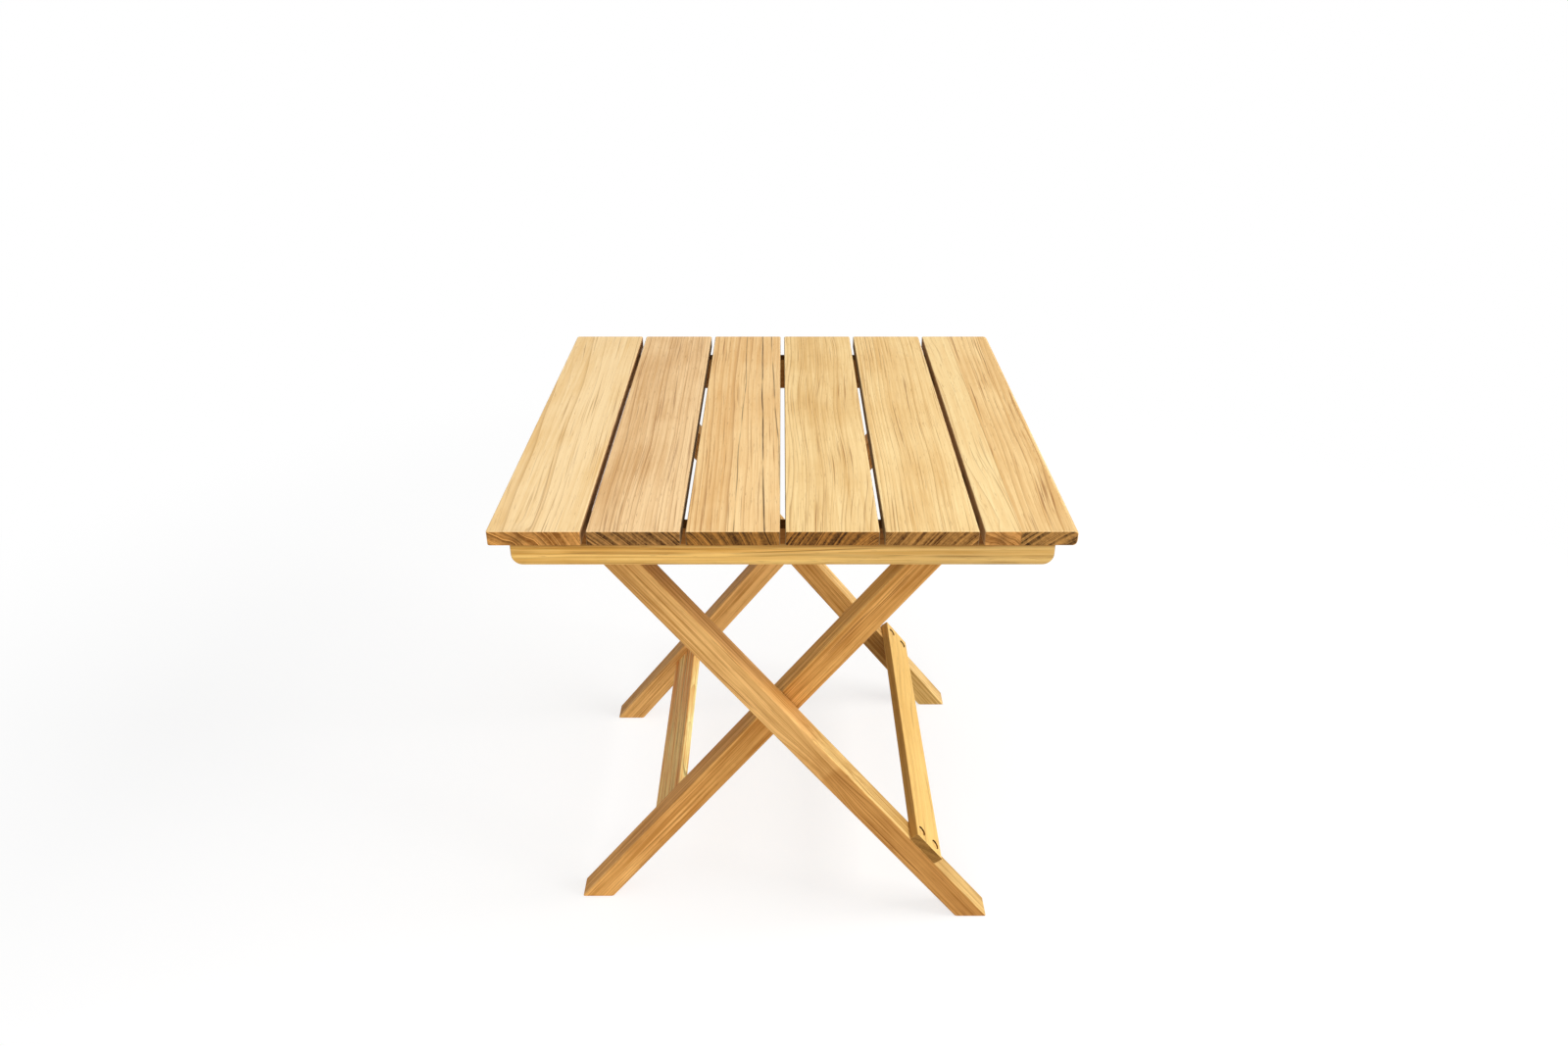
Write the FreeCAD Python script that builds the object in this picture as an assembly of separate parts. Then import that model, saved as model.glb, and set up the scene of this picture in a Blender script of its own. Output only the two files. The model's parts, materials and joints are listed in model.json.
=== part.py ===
import FreeCAD, Part
import math
import os

# Small folding garden table: a square slatted top on two crossed leg frames.
# Millimetres, X to the right, Y to the back, Z up, origin on the floor under the middle of the top.
# The outer leg frame is hinged to the battens at the left, the inner one carries a rod at the right
# that sits in notched blocks under the slats.

# Top
top_width = 500.0
top_depth = 500.0
table_height = 500.0
slat_count = 6
slat_gap = 4.4
slat_thickness = 13.0
slat_round = 1.6
top_corner_round = 5.0

# Battens
batten_height = 36.5
batten_thickness = 17.0
batten_setback = 30.0
batten_end_inset = 11.0
batten_corner_round = 10.0
batten_round = 1.2

# Legs
hinge_inset = 82.0
foot_spread = 407.0
leg_width = 26.5
leg_thickness = 27.0
leg_round = 1.6
heel_round = 5.0
toe_round = 0.8

# Stretchers, measured down the leg from the crossing
stretcher_width = 43.5
stretcher_thickness = 10.0
stretcher_round = 1.2
outer_stretcher_drop = 218.0
inner_stretcher_drop = 197.0

# Hinge and crossing pins
pin_radius = 4.0
hinge_pin_in_batten = 12.0
hinge_pin_in_leg = 18.0
pivot_pin_in_outer_leg = 16.0
pivot_pin_in_inner_leg = 18.0
washer_radius = 11.0
washer_thickness = 1.8

# Rod and the blocks that rest on it
rod_radius = 9.0
rod_in_leg = 12.0
rest_height = 22.0
rest_thickness = 24.0
rest_from_leg = 8.0
rest_end = 14.0
rest_round = 1.5
notch_slope = 45.0

# Screws, plugs and dowels
screw_radius = 2.0
screw_head_radius = 3.75
screw_head_height = 2.0
screw_in_slat = 7.0
slat_screw_in_batten = 23.0
slat_screw_spacing = 44.0
rest_screw_sink = 4.0
rest_screw_margin = 12.0
stretcher_screw_in_leg = 18.0
stretcher_screw_spacing = 24.0
plug_radius = 5.0
plug_thickness = 2.0
plug_recess = 1.4
plug_bore_depth = 5.5
dowel_radius = 4.0
dowel_depth = 15.0
dowel_spacing = 24.0

# Clearances
fit_clearance = 0.05
face_clearance = 0.1
notch_clearance = 0.3
pin_screw_wall = 2.0

# Places worked out from the sizes
slat_width = (top_width - (slat_count - 1) * slat_gap) / slat_count
slat_pitch = slat_width + slat_gap
under_slats = table_height - slat_thickness
batten_outer_y = top_depth / 2 - batten_setback
batten_inner_y = batten_outer_y - batten_thickness
washer_space = washer_thickness + 2 * face_clearance
outer_leg_outer_y = batten_inner_y - washer_space
outer_leg_inner_y = outer_leg_outer_y - leg_thickness
inner_leg_outer_y = outer_leg_inner_y - washer_space
inner_leg_inner_y = inner_leg_outer_y - leg_thickness
hinge_x = top_width / 2 - hinge_inset
hinge_z = under_slats - batten_height / 2
foot_x = foot_spread / 2
leg_angle = math.atan2(hinge_z, hinge_x + foot_x)
pivot_z = hinge_z * foot_x / (hinge_x + foot_x)
upper_reach = math.hypot(hinge_x, hinge_z - pivot_z)
half_leg = leg_width / 2

# Which way a leg runs down from the crossing, and which end of the table a piece is at
OUTER, INNER = 1, -1
FRONT, REAR = -1, 1
ENDS = {"front": FRONT, "rear": REAR}
UP = FreeCAD.Vector(0, 0, 1)


def leg_point(frame, drop, offset, y=0.0):
    """A point seen from the crossing: drop runs down the leg, offset goes to its upper face."""
    x = drop * math.cos(leg_angle) + offset * math.sin(leg_angle)
    z = pivot_z - drop * math.sin(leg_angle) + offset * math.cos(leg_angle)
    return FreeCAD.Vector(frame * x, y, z)


def leg_normal(frame):
    """Square to the leg's upper face."""
    return FreeCAD.Vector(frame * math.sin(leg_angle), 0, math.cos(leg_angle))


def rod_along_y(radius, x, z, y_start, y_end):
    low = min(y_start, y_end)
    base = FreeCAD.Vector(x, low, z)
    return Part.makeCylinder(radius, abs(y_end - y_start), base, FreeCAD.Vector(0, 1, 0))


def prism(edges, y_start, y_end):
    """A closed outline in the XZ plane, carried along Y."""
    low = min(y_start, y_end)
    face = Part.Face(Part.Wire(edges))
    face.translate(FreeCAD.Vector(0, low, 0))
    return face.extrude(FreeCAD.Vector(0, abs(y_end - y_start), 0))


def polygon_edges(points):
    closed = points + points[:1]
    return [Part.makeLine(a, b) for a, b in zip(closed, closed[1:])]


def is_along(edge, direction):
    if not isinstance(edge.Curve, Part.Line):
        return False
    return abs(edge.Curve.Direction.dot(direction)) > 0.999


def lies_at_y(edge, y):
    box = edge.BoundBox
    return abs(box.YMin - y) < 1e-6 and abs(box.YMax - y) < 1e-6


def lies_at_z(edge, z):
    box = edge.BoundBox
    return abs(box.ZMin - z) < 1e-6 and abs(box.ZMax - z) < 1e-6


def passes(edge, point):
    """An edge along Y through a point of the XZ plane."""
    middle = edge.BoundBox.Center
    return math.hypot(middle.x - point.x, middle.z - point.z) < 1e-6


def round_along_y(shape, radius, point):
    edges = [e for e in shape.Edges if is_along(e, FreeCAD.Vector(0, 1, 0)) and passes(e, point)]
    return shape.makeFillet(radius, edges)


def screw(head, direction, shank_length, clearance=0.0):
    """A pan-head screw: head is the middle of its flat top, direction the way it is driven."""
    top = Part.makeCylinder(screw_head_radius + clearance, screw_head_height, head, direction)
    under_head = head + direction * screw_head_height
    shank = Part.makeCylinder(screw_radius + clearance, shank_length, under_head, direction)
    return top.fuse(shank).removeSplitter()


def screw_space(head, direction, shank_length, sink):
    """The hole for a screw whose head is sunk below the surface."""
    hole = screw(head, direction, shank_length, fit_clearance)
    bore = Part.makeCylinder(screw_head_radius + fit_clearance, sink, head - direction * sink, direction)
    return hole.fuse(bore)


def slat_middle(index):
    return -top_width / 2 + slat_width / 2 + index * slat_pitch


def slat_screw_x(index, side):
    """A slat's screw; one that would meet a hinge pin stands beside it, nearer the slat's middle."""
    middle = slat_middle(index)
    x = middle + side * slat_screw_spacing
    clear = pin_radius + screw_head_radius + pin_screw_wall
    if abs(x + hinge_x) < clear:
        x = math.copysign(clear, middle + hinge_x) - hinge_x
    return x


def slat_screw_heads():
    """The head of each screw that comes up through a batten, with the slat that it holds."""
    heads = []
    z = under_slats - slat_screw_in_batten - screw_head_height
    batten_middle = (batten_outer_y + batten_inner_y) / 2
    for index in range(slat_count):
        for end in ENDS.values():
            for side in (-0.5, 0.5):
                x = slat_screw_x(index, side)
                heads.append((index, end, FreeCAD.Vector(x, end * batten_middle, z)))
    return heads


def slat_screw_shank():
    return slat_screw_in_batten + screw_in_slat


def rest_notch_reach():
    """How far the notch spreads to the left of the rod, at the bottom of the block."""
    radius = rod_radius + notch_clearance
    slope = math.radians(notch_slope)
    below_rod = rest_height - batten_height / 2
    drop = radius * math.cos(slope) + below_rod
    return radius * math.sin(slope) + drop / math.tan(slope)


def rest_screw_xs():
    """Screws of a rest, one in each of the two slats on either side of the rod."""
    left = hinge_x - rest_notch_reach() - rest_screw_margin
    right = hinge_x + rod_radius + notch_clearance + rest_screw_margin
    return left, right


def rest_screw_heads(end):
    z = under_slats - rest_height + rest_screw_sink
    y = end * (inner_leg_inner_y - rest_from_leg - rest_thickness / 2)
    return [FreeCAD.Vector(x, y, z) for x in rest_screw_xs()]


def rest_screw_shank():
    return rest_height - rest_screw_sink - screw_head_height + screw_in_slat


def make_slat(index):
    """A board with eased edges, and round corners where it is at the side of the top."""
    left = slat_middle(index) - slat_width / 2
    base = FreeCAD.Vector(left, -top_depth / 2, under_slats)
    board = Part.makeBox(slat_width, top_depth, slat_thickness, base)
    side_x = {0: left, slat_count - 1: left + slat_width}
    if index in side_x:
        corners = [e for e in board.Edges
                   if is_along(e, UP) and abs(e.BoundBox.XMin - side_x[index]) < 1e-6]
        board = board.makeFillet(top_corner_round, corners)
    rims = [e for e in board.Edges if lies_at_z(e, table_height) or lies_at_z(e, under_slats)]
    board = board.makeFillet(slat_round, rims)
    for owner, _, head in slat_screw_heads():
        if owner == index:
            board = board.cut(screw(head, UP, slat_screw_shank(), fit_clearance))
    for end in ENDS.values():
        for head in rest_screw_heads(end):
            board = board.cut(screw(head, UP, rest_screw_shank(), fit_clearance))
    return board


def make_batten(end):
    """A bar on edge with round lower corners, bored from below for the slat screws."""
    half = top_width / 2 - batten_end_inset
    bottom = under_slats - batten_height
    corners = [FreeCAD.Vector(-half, 0, bottom), FreeCAD.Vector(half, 0, bottom),
               FreeCAD.Vector(half, 0, under_slats), FreeCAD.Vector(-half, 0, under_slats)]
    bar = prism(polygon_edges(corners), end * batten_inner_y, end * batten_outer_y)
    for corner in corners[:2]:
        bar = round_along_y(bar, batten_corner_round, corner)
    faces_y = (end * batten_inner_y, end * batten_outer_y)
    rims = [e for e in bar.Edges
            if any(lies_at_y(e, y) for y in faces_y) and not lies_at_z(e, under_slats)]
    bar = bar.makeFillet(batten_round, rims)
    sink = batten_height - slat_screw_in_batten - screw_head_height
    for _, owner, head in slat_screw_heads():
        if owner == end:
            bar = bar.cut(screw_space(head, UP, slat_screw_shank(), sink))
    pin_end = end * (batten_inner_y + hinge_pin_in_batten)
    socket = rod_along_y(pin_radius + fit_clearance, -hinge_x, hinge_z, end * batten_inner_y, pin_end)
    return bar.cut(socket)


def make_leg_blank(frame, y_start, y_end):
    """A square bar, round about the hinge at the top and cut flat on the floor."""
    slope = math.tan(leg_angle)
    toe_drop = pivot_z / math.sin(leg_angle) + half_leg / slope
    heel_drop = pivot_z / math.sin(leg_angle) - half_leg / slope
    upper = leg_point(frame, -upper_reach, half_leg)
    crown = leg_point(frame, -upper_reach - half_leg, 0)
    lower = leg_point(frame, -upper_reach, -half_leg)
    toe = leg_point(frame, toe_drop, half_leg)
    heel = leg_point(frame, heel_drop, -half_leg)
    outline = [Part.makeLine(upper, toe), Part.makeLine(toe, heel), Part.makeLine(heel, lower),
               Part.Arc(lower, crown, upper).toShape()]
    bar = prism(outline, y_start, y_end)
    bar = round_along_y(bar, toe_round, toe)
    bar = round_along_y(bar, heel_round, heel)
    rims = [e for e in bar.Edges if lies_at_y(e, y_start) or lies_at_y(e, y_end)]
    return bar.makeFillet(leg_round, rims)


def stretcher_screw_heads(end):
    """The flat tops of the screw heads at one end of the outer stretcher."""
    middle_y = end * (outer_leg_inner_y + outer_leg_outer_y) / 2
    offset = half_leg + stretcher_thickness - plug_bore_depth + screw_head_height
    sides = (-0.5, 0.5)
    drops = [outer_stretcher_drop + side * stretcher_screw_spacing for side in sides]
    return [leg_point(OUTER, drop, offset, middle_y) for drop in drops]


def stretcher_screw_shank():
    return stretcher_thickness - plug_bore_depth + stretcher_screw_in_leg


def dowel_places():
    sides = (-0.5, 0.5)
    return [leg_point(INNER, inner_stretcher_drop + side * dowel_spacing, 0) for side in sides]


def make_outer_leg(end):
    leg = make_leg_blank(OUTER, end * outer_leg_inner_y, end * outer_leg_outer_y)
    hole_radius = pin_radius + fit_clearance
    hinge_end = end * (outer_leg_outer_y - hinge_pin_in_leg)
    leg = leg.cut(rod_along_y(hole_radius, -hinge_x, hinge_z, end * outer_leg_outer_y, hinge_end))
    pivot_end = end * (outer_leg_inner_y + pivot_pin_in_outer_leg)
    leg = leg.cut(rod_along_y(hole_radius, 0, pivot_z, end * outer_leg_inner_y, pivot_end))
    for head in stretcher_screw_heads(end):
        leg = leg.cut(screw(head, -leg_normal(OUTER), stretcher_screw_shank(), fit_clearance))
    return leg


def make_inner_leg(end):
    leg = make_leg_blank(INNER, end * inner_leg_inner_y, end * inner_leg_outer_y)
    pivot_end = end * (inner_leg_outer_y - pivot_pin_in_inner_leg)
    leg = leg.cut(rod_along_y(pin_radius + fit_clearance, 0, pivot_z, end * inner_leg_outer_y, pivot_end))
    rod_end = end * (inner_leg_inner_y + rod_in_leg)
    leg = leg.cut(rod_along_y(rod_radius + fit_clearance, hinge_x, hinge_z, end * inner_leg_inner_y, rod_end))
    dowel_end = end * (inner_leg_inner_y + dowel_depth)
    for place in dowel_places():
        hole = rod_along_y(dowel_radius + fit_clearance, place.x, place.z, end * inner_leg_inner_y, dowel_end)
        leg = leg.cut(hole)
    return leg


def make_board(frame, drop, low_offset, half_length):
    """A stretcher lying along Y, its wide side square to the leg's upper face."""
    half_width = stretcher_width / 2
    high_offset = low_offset + stretcher_thickness
    corners = [leg_point(frame, drop - half_width, low_offset), leg_point(frame, drop + half_width, low_offset),
               leg_point(frame, drop + half_width, high_offset), leg_point(frame, drop - half_width, high_offset)]
    board = prism(polygon_edges(corners), -half_length, half_length)
    long_edges = [e for e in board.Edges if is_along(e, FreeCAD.Vector(0, 1, 0))]
    return board.makeFillet(stretcher_round, long_edges)


def make_outer_stretcher():
    board = make_board(OUTER, outer_stretcher_drop, half_leg, outer_leg_outer_y)
    inward = -leg_normal(OUTER)
    for end in ENDS.values():
        for head in stretcher_screw_heads(end):
            seat = head + inward * screw_head_height
            mouth = seat - inward * plug_bore_depth
            board = board.cut(Part.makeCylinder(plug_radius + fit_clearance, plug_bore_depth, mouth, inward))
            board = board.cut(screw(head, inward, stretcher_screw_shank(), fit_clearance))
    return board


def make_inner_stretcher():
    board = make_board(INNER, inner_stretcher_drop, -stretcher_thickness / 2, inner_leg_inner_y)
    for end in ENDS.values():
        for place in dowel_places():
            hole_end = end * (inner_leg_inner_y - dowel_depth)
            board = board.cut(rod_along_y(dowel_radius + fit_clearance, place.x, place.z,
                                          end * inner_leg_inner_y, hole_end))
    return board


def make_rod_rest(end):
    """A block with a notch for the rod: a square stop outside, a ramp on the side towards the hinge."""
    left, right = rest_screw_xs()
    bottom = under_slats - rest_height
    far_y = end * (inner_leg_inner_y - rest_from_leg)
    near_y = far_y - end * rest_thickness
    corners = [FreeCAD.Vector(left - rest_end, 0, bottom), FreeCAD.Vector(right + rest_end, 0, bottom),
               FreeCAD.Vector(right + rest_end, 0, under_slats), FreeCAD.Vector(left - rest_end, 0, under_slats)]
    block = prism(polygon_edges(corners), near_y, far_y)
    for corner in corners[:2]:
        block = round_along_y(block, rest_round, corner)
    radius = rod_radius + notch_clearance
    slope = math.radians(notch_slope)
    touch = FreeCAD.Vector(hinge_x - radius * math.sin(slope), 0, hinge_z + radius * math.cos(slope))
    mouth = [FreeCAD.Vector(hinge_x - rest_notch_reach(), 0, bottom), touch,
             FreeCAD.Vector(hinge_x, 0, hinge_z), FreeCAD.Vector(hinge_x + radius, 0, hinge_z),
             FreeCAD.Vector(hinge_x + radius, 0, bottom)]
    block = block.cut(prism(polygon_edges(mouth), near_y, far_y))
    block = block.cut(rod_along_y(radius, hinge_x, hinge_z, near_y, far_y))
    for head in rest_screw_heads(end):
        block = block.cut(screw_space(head, UP, rest_screw_shank(), rest_screw_sink))
    return block


def make_washer(x, z, y_middle):
    half = washer_thickness / 2
    disc = rod_along_y(washer_radius, x, z, y_middle - half, y_middle + half)
    return disc.cut(rod_along_y(pin_radius + fit_clearance, x, z, y_middle - half, y_middle + half))


def make_hinge_pin(end):
    y_leg = end * (outer_leg_outer_y - hinge_pin_in_leg)
    y_batten = end * (batten_inner_y + hinge_pin_in_batten)
    return rod_along_y(pin_radius, -hinge_x, hinge_z, y_leg, y_batten)


def make_pivot_pin(end):
    y_inner = end * (inner_leg_outer_y - pivot_pin_in_inner_leg)
    y_outer = end * (outer_leg_inner_y + pivot_pin_in_outer_leg)
    return rod_along_y(pin_radius, 0, pivot_z, y_inner, y_outer)


def make_plugs():
    """Plugs over the stretcher screws, a little below the face of the board."""
    outward = leg_normal(OUTER)
    depth = plug_bore_depth - screw_head_height - plug_recess
    plugs = []
    for end in ENDS.values():
        for head in stretcher_screw_heads(end):
            foot = head + outward * (depth - plug_thickness)
            plugs.append(Part.makeCylinder(plug_radius, plug_thickness, foot, outward))
    return plugs


def make_dowels():
    return [rod_along_y(dowel_radius, place.x, place.z, end * (inner_leg_inner_y - dowel_depth),
                        end * (inner_leg_inner_y + dowel_depth))
            for end in ENDS.values() for place in dowel_places()]


def make_table():
    """Every piece of the table by name."""
    pieces = {}
    for index in range(slat_count):
        pieces[f"slat_{index + 1}"] = make_slat(index)
    for name, end in ENDS.items():
        pieces[f"{name}_batten"] = make_batten(end)
        pieces[f"outer_leg_{name}"] = make_outer_leg(end)
        pieces[f"inner_leg_{name}"] = make_inner_leg(end)
        pieces[f"rod_rest_{name}"] = make_rod_rest(end)
    pieces["outer_stretcher"] = make_outer_stretcher()
    pieces["inner_stretcher"] = make_inner_stretcher()
    rod_end = inner_leg_inner_y + rod_in_leg
    pieces["rest_rod"] = rod_along_y(rod_radius, hinge_x, hinge_z, -rod_end, rod_end)
    groups = {
        "slat_screws": [screw(head, UP, slat_screw_shank()) for _, _, head in slat_screw_heads()],
        "rod_rest_screws": [screw(head, UP, rest_screw_shank())
                            for end in ENDS.values() for head in rest_screw_heads(end)],
        "stretcher_screws": [screw(head, -leg_normal(OUTER), stretcher_screw_shank())
                             for end in ENDS.values() for head in stretcher_screw_heads(end)],
        "stretcher_plugs": make_plugs(),
        "stretcher_dowels": make_dowels(),
        "hinge_pins": [make_hinge_pin(end) for end in ENDS.values()],
        "pivot_pins": [make_pivot_pin(end) for end in ENDS.values()],
        "hinge_washers": [make_washer(-hinge_x, hinge_z, end * (batten_inner_y + outer_leg_outer_y) / 2)
                          for end in ENDS.values()],
        "pivot_washers": [make_washer(0, pivot_z, end * (outer_leg_inner_y + inner_leg_outer_y) / 2)
                          for end in ENDS.values()],
    }
    for name, solids in groups.items():
        pieces[name] = Part.makeCompound(solids)
    return pieces


def main():
    os.makedirs("parts", exist_ok=True)
    for name, shape in make_table().items():
        shape.exportStep(f"parts/{name}.step")
        print(name, len(shape.Solids), "solids,", round(shape.Volume / 1000, 2), "cm3")
    print("hinge axis", -hinge_x, hinge_z, "crossing", round(pivot_z, 3),
          "leg angle", round(math.degrees(leg_angle), 3))


main()
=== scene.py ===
import json
import math
import bpy
from mathutils import Matrix, Vector


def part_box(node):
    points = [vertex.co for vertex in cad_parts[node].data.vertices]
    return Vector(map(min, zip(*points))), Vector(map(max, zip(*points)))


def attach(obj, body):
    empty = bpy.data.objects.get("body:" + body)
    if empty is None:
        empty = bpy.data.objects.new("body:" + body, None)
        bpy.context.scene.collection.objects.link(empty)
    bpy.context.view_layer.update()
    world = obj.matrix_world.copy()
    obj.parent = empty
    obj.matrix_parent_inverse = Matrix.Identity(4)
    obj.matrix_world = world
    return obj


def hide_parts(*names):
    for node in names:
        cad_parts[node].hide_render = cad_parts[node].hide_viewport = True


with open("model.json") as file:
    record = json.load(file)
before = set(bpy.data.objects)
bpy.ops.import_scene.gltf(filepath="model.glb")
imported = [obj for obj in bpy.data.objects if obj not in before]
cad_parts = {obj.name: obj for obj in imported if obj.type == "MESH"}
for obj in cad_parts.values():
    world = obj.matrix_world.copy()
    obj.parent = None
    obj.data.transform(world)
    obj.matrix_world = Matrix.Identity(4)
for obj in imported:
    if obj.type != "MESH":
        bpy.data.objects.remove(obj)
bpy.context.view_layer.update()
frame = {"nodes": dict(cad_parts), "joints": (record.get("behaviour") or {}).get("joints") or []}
scene = bpy.context.scene
print("frame loaded:", len(frame["nodes"]), "nodes")


# Node helpers
def feed(tree, socket, value):
    if isinstance(value, bpy.types.NodeSocket):
        tree.links.new(value, socket)
    else:
        socket.default_value = value


def addNode(tree, kind, inputs=None, **settings):
    node = tree.nodes.new(kind)
    for name, value in settings.items():
        setattr(node, name, value)
    for key, value in (inputs or {}).items():
        feed(tree, node.inputs[key], value)
    return node


def calc(tree, operation, *values):
    return addNode(tree, "ShaderNodeMath", dict(enumerate(values)), operation=operation).outputs[0]


def mulAdd(tree, value, factor, base):
    return calc(tree, "MULTIPLY_ADD", value, factor, base)


def times(tree, first, second):
    return calc(tree, "MULTIPLY", first, second)


def minus(tree, first, second):
    return calc(tree, "SUBTRACT", first, second)


def larger(tree, first, second):
    return calc(tree, "MAXIMUM", first, second)


def split(tree, vector):
    return addNode(tree, "ShaderNodeSeparateXYZ", {0: vector}).outputs


def combine(tree, parts):
    return addNode(tree, "ShaderNodeCombineXYZ", parts).outputs[0]


def vectorCalc(tree, operation, *values):
    return addNode(tree, "ShaderNodeVectorMath", dict(enumerate(values)), operation=operation).outputs


def stretch(tree, vector, factors):
    return vectorCalc(tree, "MULTIPLY", vector, factors)[0]


def coordinates(tree, kind):
    return addNode(tree, "ShaderNodeTexCoord").outputs[kind]


def noise(tree, vector, seed, detail=2.0, roughness=0.5):
    values = {"Vector": vector, "W": seed, "Scale": 1.0, "Detail": detail, "Roughness": roughness}
    return addNode(tree, "ShaderNodeTexNoise", values, noise_dimensions="4D")


def noiseLine(tree, place, detail=1.0):  # noise along one number
    values = {"W": place, "Scale": 1.0, "Detail": detail}
    return addNode(tree, "ShaderNodeTexNoise", values, noise_dimensions="1D").outputs[0]


def rise(tree, value, low, high):  # 0 at low, 1 at high, soft in between
    values = {"Value": value, "From Min": low, "From Max": high}
    return addNode(tree, "ShaderNodeMapRange", values, interpolation_type="SMOOTHSTEP").outputs["Result"]


def blend(tree, factor, first, second, mode="MIX"):
    values = {0: factor, 6: first, 7: second}
    return addNode(tree, "ShaderNodeMix", values, data_type="RGBA", blend_type=mode).outputs[2]


def stretchColour(tree, colour, amounts):
    return blend(tree, 1.0, colour, (*amounts, 1.0), "MULTIPLY")


def startGroup(name, inputs, outputs, kind="ShaderNodeTree"):
    tree = bpy.data.node_groups.new(name, kind)
    for label, socketType in inputs:
        tree.interface.new_socket(label, in_out="INPUT", socket_type=socketType)
    for label, socketType in outputs:
        tree.interface.new_socket(label, in_out="OUTPUT", socket_type=socketType)
    given = tree.nodes.new("NodeGroupInput").outputs
    result = tree.nodes.new("NodeGroupOutput").inputs
    return tree, given, result


def listed(labels, socketType):
    return [(label, socketType) for label in labels]


def useGroup(tree, group, values):
    return addNode(tree, "ShaderNodeGroup", values, node_tree=group).outputs


def startMaterial(name):
    material = bpy.data.materials.new(name)
    material.use_nodes = True
    return material, material.node_tree


def finishSurface(tree, finish, colour, roughness, height):
    shader = tree.nodes["Principled BSDF"].inputs
    for label in ("Metallic", "Specular IOR Level"):
        shader[label].default_value = finish[label]
    feed(tree, shader["Base Color"], colour)
    feed(tree, shader["Roughness"], roughness)
    values = {"Strength": finish["bump"], "Distance": finish["bumpDepth"], "Height": height}
    feed(tree, shader["Normal"], addNode(tree, "ShaderNodeBump", values).outputs[0])


def keyOf(label):  # End Pale is kept as endPale
    return label[0].lower() + label[1:].replace(" ", "")


def paint(red, green, blue):  # a screen colour as the shaders want it
    def straighten(part):
        part /= 255
        return part / 12.92 if part <= 0.04045 else ((part + 0.055) / 1.055) ** 2.4
    return (straighten(red), straighten(green), straighten(blue), 1.0)


floatSocket = "NodeSocketFloat"
vectorSocket = "NodeSocketVector"
colourSocket = "NodeSocketColor"
surfaceOutputs = [("Color", colourSocket), ("Roughness", floatSocket), ("Height", floatSocket)]


# Grain of a sawn board: rings about the tree's middle, which lies off to one side of the board
grainSizes = {
    "drift": (16.0, 4.5, 16.0),  # how fast the rings wander, per metre across and along
    "driftDetail": (0.6, 0.5),  # detail and roughness of the noise
    "band": (26.0, 1.3, 26.0),
    "bandDetail": (3.0, 0.5),
    "bandShare": 0.55,
    "cloud": (22.0, 9.0, 22.0),
    "cloudDetail": (4.0, 0.6),
    "cloudShare": 0.45,
    "bandPick": (0.36, 0.64),
    "fibre": (430.0, 7.0, 430.0),
    "fibreDetail": (3.0, 0.6),
    "hair": (800.0, 7.0, 800.0),
    "hairDetail": (2.0, 0.6),
    "hairPick": (0.57, 0.70),
    "pore": (1250.0, 75.0, 1250.0),
    "poreDetail": (1.0, 0.5),
    "porePick": (0.60, 0.74),
    "openPart": (0.7, 0.0),  # of a ring, from where the pores are closed to where they are widest
    "openShare": (0.6, 0.4),  # what changes over a ring, and what stays
    "unevenStep": 0.27,
    "unevenAmount": 2.2,
    "chancePower": 2.4,
    "ringShare": (0.9, 0.1),  # what changes from ring to ring, and what stays
    "linePower": 7.0,  # the higher, the finer the ring lines
    "earlyPart": (0.2, 0.0),
    "toneShare": (0.6, 0.4),
    "stripeShare": 0.8,  # stripes on a cut end, per ring
    "stripeDetail": 3.0,
    "stripePick": (0.40, 0.60),
}
pithLabels = ("Pith Across", "Pith Depth")
ringLabels = ("Taper", "Ring Spacing", "Wander", "Seed")


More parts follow.
